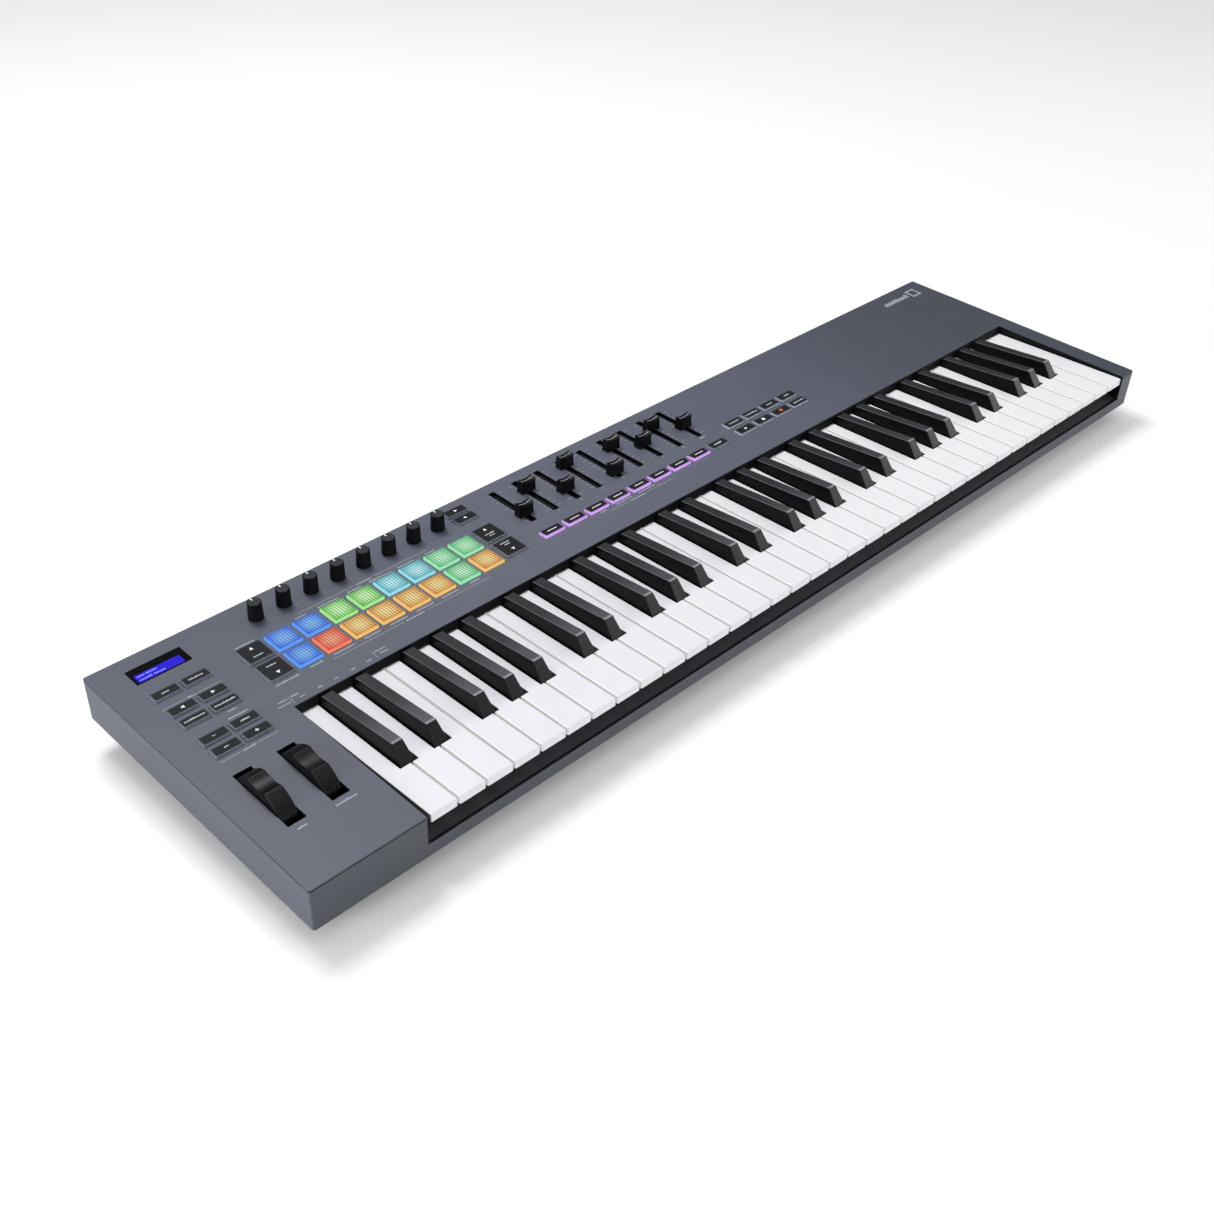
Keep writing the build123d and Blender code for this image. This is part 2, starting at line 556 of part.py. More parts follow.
def fader():
    """Fader cap with a scooped crown and waisted faces, on its stem."""
    half, crown = CAP_DEPTH / 2, CAP_CROWN / 2
    low = 0.5
    cap = side_profile(((-half, low), (half, low), (crown, CAP_HEIGHT), (-crown, CAP_HEIGHT)),
                       -CAP_WIDTH / 2, CAP_WIDTH / 2)
    cap = fillet(cap.edges().filter_by(lambda edge: edge.center().Z > low + 1), 0.9)
    waist = 16.0
    for side in (-1, 1):
        cap -= cross_rod(-10, 10, side * (half + waist - 1.5), CAP_HEIGHT * 0.55, waist)
    scoop = 15.0
    cap -= bore_rod(0, -10, 10, CAP_HEIGHT + scoop - 1.9, scoop)
    return cap + block(-1.7, 1.7, -2.1, 2.1, BOARD_TOP + 2 - SIDE, low + 1)


def thumb_wheel(x, turn):
    """Sector of a wheel with a thumb groove across its rim and a hub for the axle."""
    reach = 2 * WHEEL_RADIUS
    fan_x, fan_y = reach * sin(radians(SECTOR)), reach * cos(radians(SECTOR))
    fan = make_face(Polyline((0, 0), (fan_x, fan_y), (fan_x, reach), (-fan_x, reach), (-fan_x, fan_y), close=True))
    profile = (Circle(WHEEL_RADIUS) & fan) + Circle(HUB_RADIUS)
    groove = Pos(0, WHEEL_RADIUS + THUMB_RADIUS - THUMB_DEPTH) * Circle(THUMB_RADIUS)
    profile = profile - groove - Circle(AXLE_RADIUS + AXLE_CLEAR)
    wheel = extrude(profile, WHEEL_WIDTH / 2, both=True)
    ridges = wheel.edges().filter_by(Axis.Z).filter_by(lambda edge: edge.center().Y > WHEEL_RADIUS - 4)
    wheel = fillet(ridges, 1.4)
    rim = wheel.edges().filter_by(lambda edge: abs(edge.center().Z) > WHEEL_WIDTH / 2 - 0.1
                                  and edge.center().Y > WHEEL_RADIUS * 0.6)
    wheel = fillet(rim, 0.6)
    upright = Rot(turn, 0, 0) * Plane.YZ.location * wheel
    return panel(Pos(x, WHEEL_V, WHEEL_W) * upright)


def wheel_bracket():
    """Two forks on a base plate, each with the axle of a wheel."""
    floor_z = FOOT_HEIGHT + TRAY_WALL
    tilt = radians(TILT)
    axle_y = WHEEL_V * cos(tilt) - WHEEL_W * sin(tilt)
    axle_z = EDGE_HEIGHT + WHEEL_V * sin(tilt) + WHEEL_W * cos(tilt)
    inner, outer = WHEEL_WIDTH / 2 + 1, WHEEL_WIDTH / 2 + 3
    bracket = block(WHEEL_X[0] - outer, WHEEL_X[1] + outer, axle_y - 16, axle_y + 16, floor_z, floor_z + 2)
    for x in WHEEL_X:
        for side in (-1, 1):
            near, far = sorted((x + side * inner, x + side * outer))
            bracket += block(near, far, axle_y - 8, axle_y + 8, floor_z + 1, axle_z + 6)
        bracket += cross_rod(x - outer, x + outer, axle_y, axle_z, AXLE_RADIUS)
    return level(bracket)


def build():
    """Every node by name."""
    nodes = {
        "top_panel": top_panel(), "lower_case": lower_case(), "bottom_tray": bottom_tray(),
        "rubber_feet": rubber_feet(), "case_screws": case_screws(),
        "keybed_frame": keybed_frame(), "key_pivot_rod": key_pivot_rod(), "key_springs": key_springs(),
        "key_stop_felt": key_stop_felt(), "contact_board": contact_board(),
        "contact_rubber": contact_rubber(), "main_board": main_board(),
        "control_board": control_board(), "control_switches": control_switches(),
        "display_window": display_window(), "display_module": display_module(),
        "knob_pots": knob_pots(), "fader_tracks": fader_tracks(), "wheel_bracket": wheel_bracket(),
        "usb_socket": usb_socket(), "midi_socket": midi_socket(), "pedal_jack": pedal_jack(),
        "pitch_wheel": thumb_wheel(WHEEL_X[0], 0), "modulation_wheel": thumb_wheel(WHEEL_X[1], MOD_REST),
        "pads_back_row": pads(PAD_BACK_V), "pads_front_row": pads(PAD_FRONT_V),
        "function_buttons": joined(caps(function_spots(), BUTTON)),
        "bank_buttons": joined(caps(BANK_SPOTS, SQUARE) + caps(SCROLL_SPOTS, BUTTON)),
        "fader_buttons": joined(caps(fader_button_spots(), BUTTON)),
        "transport_buttons": joined(caps(transport_spots(), BUTTON)),
    }
    for name in WHITE_NAMES:
        nodes["white_keys_" + name] = white_group(name)
    for name in BLACK_SHIFT:
        nodes["black_keys_" + name + "_sharp"] = black_group(name)
    turned, sliding = knob(), fader()
    for number, x in enumerate(knob_xs(), start=1):
        nodes[f"knob_{number}"] = panel(Pos(x, KNOB_V, SIDE) * turned)
    for number, (x, v) in enumerate(zip(fader_xs(), FADER_REST), start=1):
        nodes[f"fader_{number}"] = panel(Pos(x, v, SIDE) * sliding)
    return nodes


os.makedirs("parts", exist_ok=True)
for node, shape in build().items():
    export_step(shape, f"parts/{node}.step")
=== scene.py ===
"""Looks of the keyboard controller: materials, printed and lit marks, studio light and camera."""

import json
import math
import random

import bmesh
import bpy
from mathutils import Matrix, Vector


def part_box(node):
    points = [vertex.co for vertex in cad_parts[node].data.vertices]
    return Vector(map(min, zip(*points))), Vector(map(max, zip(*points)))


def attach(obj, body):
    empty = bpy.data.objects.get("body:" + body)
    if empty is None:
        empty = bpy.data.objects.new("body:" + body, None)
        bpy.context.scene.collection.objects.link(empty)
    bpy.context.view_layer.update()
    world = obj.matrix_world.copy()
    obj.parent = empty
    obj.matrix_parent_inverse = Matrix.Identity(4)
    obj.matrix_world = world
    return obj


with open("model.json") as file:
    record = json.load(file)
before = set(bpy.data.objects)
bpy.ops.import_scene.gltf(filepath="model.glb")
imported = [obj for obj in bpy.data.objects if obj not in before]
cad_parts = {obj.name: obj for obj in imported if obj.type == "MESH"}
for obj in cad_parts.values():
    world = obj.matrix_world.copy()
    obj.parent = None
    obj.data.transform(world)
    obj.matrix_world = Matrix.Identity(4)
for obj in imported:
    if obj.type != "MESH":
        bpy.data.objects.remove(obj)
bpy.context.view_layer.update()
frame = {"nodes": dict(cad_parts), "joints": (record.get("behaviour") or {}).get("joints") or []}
nodes = frame["nodes"]
joints = {joint["name"]: joint for joint in frame["joints"]}
MM = 0.001

# ---- The panel's own frame: x from the left edge, v from the front edge, w above its face, in mm ----

KNOB_V = 235.5
ACROSS = Vector((1, 0, 0))
BACK = Vector(joints["fader_1_slide"]["axis"]).normalized()
UP = Vector(joints["knob_1_turn"]["axis"]).normalized()
KNOB_1 = Vector(joints["knob_1_turn"]["pos_m"])
ORIGIN = KNOB_1 - ACROSS * (KNOB_1.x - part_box("top_panel")[0].x) - BACK * KNOB_V * MM
AXES = {"x": ACROSS, "v": BACK, "w": UP}


def on_panel(x, v, w=0.0):
    return ORIGIN + (ACROSS * x + BACK * v + UP * w) * MM


def in_panel(point):
    """(x, v, w) of a point, in mm."""
    offset = (Vector(point) - ORIGIN) / MM
    return offset.x, offset.dot(BACK), offset.dot(UP)


def centre(points):
    """(x, v) midway between the outermost points."""
    return tuple((min(p[i] for p in points) + max(p[i] for p in points)) / 2 for i in (0, 1))


def islands(name):
    """Middle (x, v) of every separate cap of a node, back row first, then from left to right."""
    mesh = nodes[name].data
    keys = [tuple(round(c, 6) for c in vert.co) for vert in mesh.vertices]
    parent = {key: key for key in keys}

    def root(key):
        while parent[key] != key:
            parent[key] = parent[parent[key]]
            key = parent[key]
        return key

    for face in mesh.polygons:
        first = root(keys[face.vertices[0]])
        for index in face.vertices[1:]:
            parent[root(keys[index])] = first
    groups = {}
    for key in parent:
        groups.setdefault(root(key), []).append(in_panel(key))
    return sorted(map(centre, groups.values()), key=lambda spot: (-round(spot[1]), spot[0]))


# ---- Places on the panel, in mm ----

CASE_WIDTH = (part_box("lower_case")[1].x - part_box("lower_case")[0].x) / MM
CASE_DEPTH = 258.0
PAINT_EDGE = 0.7                          # the paint reaches this far in from the outline
SEAM = -1.72, -0.98                       # w of the shadow gap under the panel's edge, painted black there as a painted shade

KEY_GAP = 1.6
KEY_PITCH = (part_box("white_keys_d")[0].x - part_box("white_keys_c")[0].x) / MM
KEY_LINE = in_panel(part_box("white_keys_c")[0])[0] - KEY_GAP / 2   # x where the first key begins
CREST_FRONT, CREST_BACK = 59.4, 61.6      # v of the bend between a black key's front and its crown

BUTTON_FACE = max(in_panel(vert.co)[2] for vert in nodes["fader_buttons"].data.vertices)
PADS = islands("pads_back_row")
PAD_PITCH = (PADS[-1][0] - PADS[0][0]) / (len(PADS) - 1)
FADERS = islands("fader_buttons")         # each fader stands behind its own button
FADER_PITCH = FADERS[1][0] - FADERS[0][0]
KNOBS = [in_panel(joints[f"knob_{number}_turn"]["pos_m"])[0] for number in range(1, 9)]
KNOB_PITCH = (KNOBS[-1] - KNOBS[0]) / (len(KNOBS) - 1)
KNOB_TOP = 14.45
DISPLAY_X, DISPLAY_V = (25.8, 61.0), (227.4, 236.2)
DISPLAY_DOTS = 14.0                       # waves of its dots, in radians for each mm

PAD_GROOVE, PAD_SKIRT = (8.6, 9.1), (9.3, 9.7)   # from a pad's middle lines to where these begin and end
PAD_WEAVE = 2.7                           # waves of the fine mesh in a pad, in radians for each mm
KNOB_FLAT, KNOB_SKIRT_HIGHLIGHT = 4.6, (5.3, 5.7)   # radius of the flat top, and where the painted highlight on the skirt begins
KNOB_RINGS = 9.0                          # waves of the turned rings, in radians for each mm

# x from where a tone begins to change to where it has changed: painted light in the middle of the panel and
# painted shade at its right end, painted light on the white keys' tops to the right, a painted sheen on the
# black keys' crowns that fades to the right, and a painted reflection on their fronts from the second octave
# on.
PAINTED_LIGHT_RISES, PAINTED_LIGHT_FADES, PAINTED_SHADE_RIGHT = (40.0, 330.0), (470.0, 900.0), (640.0, 960.0)
KEYS_PAINTED_LIGHT, CROWN_SHEEN_FADES, FRONT_REFLECTION_RISES = (260.0, 860.0), (90.0, 900.0), (120.0, 330.0)


# ---- Materials ----

BLACK = (0, 0, 0, 1)


def srgb(red, green, blue):
    """Linear colour from 0 to 255 display values."""
    values = [c / 255 for c in (red, green, blue)]
    return tuple(c / 12.92 if c <= 0.04045 else ((c + 0.055) / 1.055) ** 2.4 for c in values) + (1.0,)


def dimmed(colour, share):
    return tuple(c * share for c in colour[:3]) + (1.0,)


class Shade:
    """One material and its nodes."""

    def __init__(self, name, **sockets):
        self.mat = bpy.data.materials.new(name)
        self.mat.use_nodes = True
        self.tree = self.mat.node_tree
        self.bsdf = self.tree.nodes["Principled BSDF"]
        for key, value in sockets.items():
            self.bsdf.inputs[key.replace("_", " ")].default_value = value
        texture = self.node("ShaderNodeTexCoord")
        self.coords, self.normal = texture.outputs["Object"], texture.outputs["Normal"]

    def node(self, kind, inputs=(), **settings):
        made = self.tree.nodes.new(kind)
        for key, value in settings.items():
            setattr(made, key, value)
        for key, value in dict(inputs).items():
            self.plug(value, made.inputs[key])
        return made

    def plug(self, value, socket):
        if isinstance(value, bpy.types.NodeSocket):
            self.tree.links.new(value, socket)
        else:
            socket.default_value = value

    def put(self, name, value):
        self.plug(value, self.bsdf.inputs[name])

    def math(self, kind, a, b=0.0, clamp=False):
        return self.node("ShaderNodeMath", {0: a, 1: b}, operation=kind, use_clamp=clamp).outputs[0]

    def times(self, a, b):
        return self.math("MULTIPLY", a, b)

    def most(self, a, b):
        return self.math("MAXIMUM", a, b)

    def size(self, value):
        return self.math("ABSOLUTE", value)

    def vector(self, kind, a, b, output=0):
        return self.node("ShaderNodeVectorMath", {0: a, 1: b}, operation=kind).outputs[output]

    def dot(self, vector, axis):
        return self.vector("DOT_PRODUCT", vector, axis, "Value")

    def facing(self, axis):
        """1 where the surface faces along axis, -1 where it faces the other way."""
        return self.dot(self.normal, axis)

    def panel(self, wanted="xvw"):
        """Sockets for the wanted coordinates in the panel's frame, in mm."""
        offset = self.vector("SUBTRACT", self.coords, ORIGIN)
        return [self.dot(offset, AXES[axis] / MM) for axis in wanted]

    def spaced(self, x, first, pitch):
        """For spots pitch apart: how many come before x, and how far x is from the nearest, in mm."""
        steps = self.math("DIVIDE", self.math("SUBTRACT", x, first - pitch / 2), pitch)
        return steps, self.times(self.math("SUBTRACT", self.math("FRACT", steps), 0.5), pitch)

    def radius(self, a, b):
        squares = [self.math("POWER", value, 2.0) for value in (a, b)]
        return self.math("SQRT", self.math("ADD", *squares))

    def step(self, value, low, high):
        """0 below low, 1 above high and smooth between."""
        return self.node("ShaderNodeMapRange", {0: value, 1: low, 2: high, 3: 0.0, 4: 1.0},
                         interpolation_type="SMOOTHSTEP").outputs[0]

    def inside(self, value, low, high, soft):
        """1 between low and high and 0 outside, with edges that are soft on both sides."""
        rising = self.step(value, low - soft, low + soft)
        return self.math("SUBTRACT", rising, self.step(value, high - soft, high + soft), clamp=True)

    def between(self, value, low, high, start=0.3, end=0.7):
        """A number from low to high as value goes from start to end."""
        return self.node("ShaderNodeMapRange", {0: value, 1: start, 2: end, 3: low, 4: high}).outputs[0]

    def noise(self, size, detail=2.0, stretch=(1, 1, 1)):
        """Noise whose features are about size mm across."""
        stretched = self.vector("MULTIPLY", self.coords, stretch)
        inputs = {"Vector": stretched, "Scale": 1 / (size * MM), "Detail": detail}
        return self.node("ShaderNodeTexNoise", inputs).outputs[0]

    def mix(self, factor, a, b):
        made = self.node("ShaderNodeMix", data_type="RGBA")
        self.plug(factor, made.inputs["Factor"])
        self.plug(a, made.inputs[6])
        self.plug(b, made.inputs[7])
        return made.outputs[2]

    def tint(self, factor, dark, light):
        """Mix of two display colours."""
        return self.mix(factor, srgb(*dark), srgb(*light))

    def bump(self, height, depth, under=None):
        """Bump of depth mm, on top of another bump."""
        made = self.node("ShaderNodeBump", {"Height": height, "Distance": depth * MM, "Strength": 1.0})
        if under is not None:
            self.plug(under, made.inputs["Normal"])
        return made.outputs[0]


def moulded(name, dark, light, rough, grain=0.5, depth=0.03, **sockets):
    """Moulded plastic or rubber: clouded colour, fine grain and uneven gloss."""
    shade = Shade(name, **sockets)
    clouds = shade.noise(45.0, 3.0)
    fine = shade.noise(grain)
    tone = shade.math("ADD", shade.times(clouds, 0.6), shade.times(fine, 0.4))
    shade.put("Base Color", shade.tint(shade.between(tone, 0.0, 1.0, 0.35, 0.65), dark, light))
    shade.put("Roughness", shade.between(tone, *rough))
    shade.put("Normal", shade.bump(fine, depth))
    return shade


def metal(name, colour, rough, along=(1, 1, 1)):
    """Brushed metal."""
    shade = Shade(name, Metallic=1.0)
    brushed = shade.noise(0.6, 3.0, along)
    shade.put("Base Color", shade.mix(brushed, dimmed(srgb(*colour), 0.75), srgb(*colour)))
    shade.put("Roughness", shade.between(brushed, *rough))
    shade.put("Normal", shade.bump(brushed, 0.01))
    return shade


def felt(name, dark, light):
    shade = Shade(name, Roughness=0.95, Sheen_Weight=0.4)
    fibre = shade.noise(0.35, 4.0, (1, 1, 3))
    shade.put("Base Color", shade.tint(fibre, dark, light))
    shade.put("Normal", shade.bump(fibre, 0.25))
    return shade


def board(name):
    """Solder-masked circuit board with lighter tracks."""
    shade = Shade(name, Roughness=0.4)
    tracks = shade.node("ShaderNodeTexBrick", {"Vector": shade.coords, "Scale": 160.0, "Mortar Size": 0.03},
                        offset=0.35).outputs["Fac"]
    green = shade.tint(shade.noise(20.0), (12, 40, 27), (16, 50, 34))
    shade.put("Base Color", shade.mix(tracks, green, srgb(34, 76, 50)))
    shade.put("Normal", shade.bump(tracks, 0.04))
    return shade


def ink(name, colour, glow=0.0):
    """Matt print, a little uneven, which may glow."""
    shade = Shade(name, Roughness=0.55)
    colour = srgb(*colour)
    tone = shade.mix(shade.noise(0.4), dimmed(colour, 0.86), colour)
    shade.put("Base Color", tone)
    if glow:
        shade.put("Emission Color", tone)
        shade.put("Emission Strength", glow)
    return shade


def case_plastic():
    """Grey paint outside; black below the panel's face inside its outline: in the key well, in the slots
    and inside the case.

    The paint is palest in the middle of the panel, a painted light, and darkest at its right end and on
    the front faces, a painted shade.
    """
    shade = moulded("case_plastic", (73, 78, 92), (78, 83, 97), (0.42, 0.5), grain=0.45, depth=0.035)
    paint = shade.bsdf.inputs["Base Color"].links[0].from_socket
    x, v, w = shade.panel()
    clouds = shade.noise(45.0)
    # painted light: the paint is lighter in the middle of the panel
    painted_light_middle = shade.math("SUBTRACT", shade.step(x, *PAINTED_LIGHT_RISES), shade.step(x, *PAINTED_LIGHT_FADES))
    paint = shade.mix(painted_light_middle, paint, shade.tint(clouds, (88, 93, 107), (92, 97, 111)))
    # painted shade: the paint is darker towards the right end
    paint = shade.mix(shade.step(x, *PAINTED_SHADE_RIGHT), paint, shade.tint(clouds, (66, 71, 82), (70, 75, 86)))
    # painted shade: faces that look to the front are darker
    ahead = shade.step(shade.facing(BACK), -0.4, -0.8)
    paint = shade.mix(ahead, paint, shade.tint(clouds, (64, 68, 78), (68, 72, 82)))

    # black below the panel's face inside the outline: the key well, the slots and the inside of the case
    within = shade.times(shade.inside(x, PAINT_EDGE, CASE_WIDTH - PAINT_EDGE, 0.1),
                         shade.inside(v, PAINT_EDGE, CASE_DEPTH - PAINT_EDGE, 0.1))
    within = shade.times(within, shade.step(w, -0.35, -0.55))
    # painted shade: the seam under the panel's edge is painted as black as the recesses
    within = shade.most(within, shade.inside(w, *SEAM, 0.06))
    black_below_face = shade.tint(shade.noise(0.6), (7, 8, 10), (12, 13, 16))
    shade.put("Base Color", shade.mix(within, paint, black_below_face))
    shade.put("Specular IOR Level", shade.between(within, 0.5, 0.15, 0.0, 1.0))
    return shade


def white_plastic():
    """White keys: tops a little brighter to the right and grey sides, painted light and painted shade.

    Close to the line between two keys the sides are pale and glow, a painted light in the narrow gaps.
    """
    shade = Shade("white_key", Coat_Weight=0.15, Coat_Roughness=0.2, Emission_Strength=0.32)
    clouds = shade.noise(18.0)
    x = shade.panel("x")[0]
    # painted light: the tops get brighter towards the right
    bright = shade.times(shade.step(x, *KEYS_PAINTED_LIGHT), shade.step(shade.facing(UP), 0.4, 0.9))
    top = shade.mix(bright, shade.tint(clouds, (228, 230, 236), (236, 238, 243)),
                    shade.tint(clouds, (242, 243, 247), (249, 250, 253)))
    # painted shade on the sides, and pale painted light close to the line between two keys
    off_line = shade.size(shade.spaced(x, KEY_LINE, KEY_PITCH)[1])
    close = shade.times(shade.step(off_line, 0.07 * KEY_PITCH, 0.05 * KEY_PITCH),
                        shade.step(x, KEY_LINE + 3, KEY_LINE + 5))
    side = shade.mix(close, shade.tint(clouds, (112, 109, 104), (124, 121, 116)),
                     shade.tint(clouds, (196, 195, 192), (206, 205, 202)))
    flank = shade.step(shade.size(shade.facing(ACROSS)), 0.3, 0.75)
    shade.put("Base Color", shade.mix(flank, top, side))
    # painted light: the sides glow close to the line between two keys
    shade.put("Emission Color", shade.mix(shade.times(flank, close), BLACK, srgb(202, 202, 200)))
    shade.put("Roughness", shade.between(shade.noise(1.2, 3.0), 0.26, 0.36))
    shade.put("Normal", shade.bump(shade.noise(9.0, 1.0), 0.02))
    return shade


def black_plastic():
    """Black keys: grey crown with a painted sheen towards the player and the left end, and near-black
    flanks.

    The crest and the left edge of the crown carry a painted highlight, and the fronts from the second octave
    on are greyer, a painted reflection.
    """
    shade = Shade("black_key")
    fine = shade.noise(0.45)
    x, v = shade.panel("xv")
    level = shade.facing((0, 0, 1))
    # painted sheen: the crown is lighter near its front and at the left end, fading to the back and the
    # right
    crown_sheen = shade.times(shade.step(v, 104.0, 60.0), shade.between(x, 1.0, 0.12, *CROWN_SHEEN_FADES))
    top = shade.tint(shade.noise(25.0, 3.0), (30, 32, 37), (35, 37, 42))
    top = shade.mix(crown_sheen, top, srgb(80, 82, 90))
    # painted highlight along the crest
    crest_highlight = shade.times(shade.step(level, 0.66, 0.8), shade.step(v, CREST_BACK, CREST_FRONT))
    top = shade.mix(crest_highlight, top, srgb(142, 143, 149))
    # painted reflection: the fronts are greyer from the second octave on
    ahead = shade.times(shade.step(shade.facing(BACK), -0.5, -0.8), shade.step(x, *FRONT_REFLECTION_RISES))
    side = shade.mix(ahead, shade.tint(fine, (6, 6, 7), (12, 12, 14)),
                     shade.tint(fine, (52, 53, 56), (58, 59, 62)))
    body = shade.mix(shade.most(shade.step(level, 0.9, 0.99), crest_highlight), side, top)
    # painted highlight along the left edge of the crown
    left_edge_highlight = shade.times(shade.inside(level, 0.8, 0.95, 0.04),
                            shade.step(shade.facing(ACROSS), -0.1, -0.3))
    shade.put("Base Color", shade.mix(left_edge_highlight, body, srgb(98, 100, 106)))
    shade.put("Roughness", shade.between(fine, 0.34, 0.46))
    shade.put("Specular IOR Level", shade.between(shade.size(shade.facing(ACROSS)), 0.5, 0.12, 0.2, 0.8))
    shade.put("Normal", shade.bump(fine, 0.035))
    return shade


def window_shade():
    """Black glossy window with a lit blue field of fine dots behind it."""
    shade = Shade("window_gloss", Roughness=0.16, IOR=1.15, Emission_Strength=1.0)
    x, v, w = shade.panel()
    field = shade.times(shade.inside(x, *DISPLAY_X, 0.12), shade.inside(v, *DISPLAY_V, 0.12))
    field = shade.times(field, shade.step(w, 0.1, 0.25))
    waves = [shade.math("SINE", shade.times(value, DISPLAY_DOTS)) for value in (x, v)]
    dots = shade.between(shade.times(*waves), 0.0, 1.0, -1.0, 1.0)
    glow = shade.tint(dots, (30, 22, 190), (56, 44, 240))
    shade.put("Base Color", shade.tint(shade.times(shade.noise(12.0), 0.3), (4, 4, 5), (10, 10, 12)))
    shade.put("Emission Color", shade.mix(field, BLACK, glow))
    return shade


def cap_shade(name, wall, lit=None):
    """Dark button faces in borders: grey on top, the wall colour down their sides, and pale along the edge,
    a painted highlight.

    Borders between the two x of lit glow violet.
    """
    shade = Shade(name, Specular_IOR_Level=0.12)
    x, v, w = shade.panel()
    fine = shade.noise(0.5)
    face = shade.step(w, BUTTON_FACE - 0.28, BUTTON_FACE - 0.2)
    side = shade.math("SUBTRACT", 1.0, shade.size(shade.facing(UP)))
    border = shade.tint(shade.step(side, 0.1, 0.8), (78, 82, 92), wall)
    # painted highlight: a pale line at the foot of the border and where its top turns down
    outline = shade.most(shade.step(w, 0.75, 0.45), shade.inside(side, 0.25, 0.8, 0.1))
    border = shade.mix(outline, border, srgb(176, 184, 198))
    shade.put("Base Color", shade.mix(face, border, shade.tint(fine, (26, 28, 31), (36, 38, 41))))
    shade.put("Roughness", shade.between(fine, 0.45, 0.6))
    shade.put("Normal", shade.bump(fine, 0.03))
    if lit is not None:
        row_v = FADERS[0][1]
        front = shade.between(v, 0.75, 0.12, row_v - 3.6, row_v + 1.5)
        strength = shade.most(front, shade.between(side, 0.0, 0.8, 0.2, 0.9))
        border_lit = shade.times(shade.math("SUBTRACT", 1.0, face), shade.inside(x, *lit, 0.2))
        glow = shade.tint(shade.noise(9.0), (186, 112, 226), (226, 158, 250))
        shade.put("Emission Color", shade.mix(shade.times(strength, border_lit), BLACK, glow))
        shade.put("Emission Strength", 1.0)
    return shade


def colour_steps(shade, steps, colours):
    """One flat colour after the other along steps."""
    ramp = shade.node("ShaderNodeValToRGB", {"Fac": shade.math("DIVIDE", steps, float(len(colours)))})
    ramp.color_ramp.interpolation = "CONSTANT"
    stops = ramp.color_ramp.elements
    for index, colour in enumerate(colours):
        stop = stops[0] if index == 0 else stops.new(index / len(colours))
        stop.color = colour
    stops.remove(stops[-1])
    return ramp.outputs[0]


def pad_shade(name, row_v, colours):
    """Translucent pads lit from below: pale in the middle, with a fine mesh and a bright skirt."""
    shade = Shade(name, Roughness=0.5, Specular_IOR_Level=0.25)
    x, v = shade.panel("xv")
    steps, across = shade.spaced(x, PADS[0][0], PAD_PITCH)
    along = shade.math("SUBTRACT", v, row_v)
    edge = shade.most(shade.size(across), shade.size(along))
    waves = [shade.math("SINE", shade.times(value, PAD_WEAVE)) for value in (across, along)]
    weave = shade.math("ADD", *waves)
    skirt = shade.step(edge, *PAD_SKIRT)
    groove = shade.inside(edge, *PAD_GROOVE, 0.2)
    core = shade.most(shade.step(shade.radius(across, along), 12.5, 1.0), shade.times(skirt, 0.5))
    mesh = shade.times(weave, shade.between(skirt, 0.27, 0.0, 0.0, 1.0))
    level = shade.math("ADD", shade.between(core, 0.6, 0.58, 0.0, 1.0), mesh)
    level = shade.math("SUBTRACT", level, shade.times(groove, 0.22))
    level = shade.math("ADD", level, shade.times(skirt, 0.36))
    glow = shade.mix(core, colour_steps(shade, steps, [pair[0] for pair in colours]),
                     colour_steps(shade, steps, [pair[1] for pair in colours]))
    shade.put("Base Color", shade.mix(0.85, glow, (0.02, 0.02, 0.02, 1)))
    shade.put("Emission Color", glow)
    shade.put("Emission Strength", level)
    shade.put("Normal", shade.bump(weave, 0.08))
    return shade


def knob_shade():
    """Black knob whose flat top is greyer, with fine turned rings, and whose skirt has a painted highlight
    that makes it stand out a little.
    """
    shade = Shade("knob_rubber", Specular_IOR_Level=0.15)
    x, v, w = shade.panel()
    across = shade.spaced(x, KNOBS[0], KNOB_PITCH)[1]
    radius = shade.radius(across, shade.math("SUBTRACT", v, KNOB_V))
    top = shade.times(shade.step(w, KNOB_TOP - 0.25, KNOB_TOP), shade.inside(radius, -1.0, KNOB_FLAT, 0.15))
    fine = shade.noise(0.5)
    side = shade.tint(fine, (3, 3, 4), (6, 6, 7))
    # painted highlight: the skirt is lighter than the rest of the side
    side = shade.mix(shade.step(radius, *KNOB_SKIRT_HIGHLIGHT), side, srgb(20, 20, 22))
    shade.put("Base Color", shade.mix(top, side, srgb(53, 54, 59)))
    shade.put("Roughness", shade.between(fine, 0.42, 0.6))
    rings = shade.times(shade.math("SINE", shade.times(radius, KNOB_RINGS)), top)
    shade.put("Normal", shade.bump(rings, 0.02, under=shade.bump(fine, 0.03)))
    return shade


# Colour at the edge and in the middle of a lit pad.
BLUE = srgb(36, 112, 235), srgb(124, 182, 245)
GREEN = srgb(98, 205, 84), srgb(204, 248, 182)
CYAN = srgb(84, 190, 208), srgb(187, 241, 246)
MINT = srgb(96, 205, 136), srgb(190, 244, 204)
RED = srgb(236, 74, 46), srgb(246, 160, 124)
AMBER = srgb(226, 150, 52), srgb(246, 222, 150)
BACK_COLOURS = BLUE, BLUE, GREEN, GREEN, CYAN, CYAN, MINT, MINT
FRONT_COLOURS = BLUE, RED, AMBER, AMBER, AMBER, AMBER, MINT, AMBER

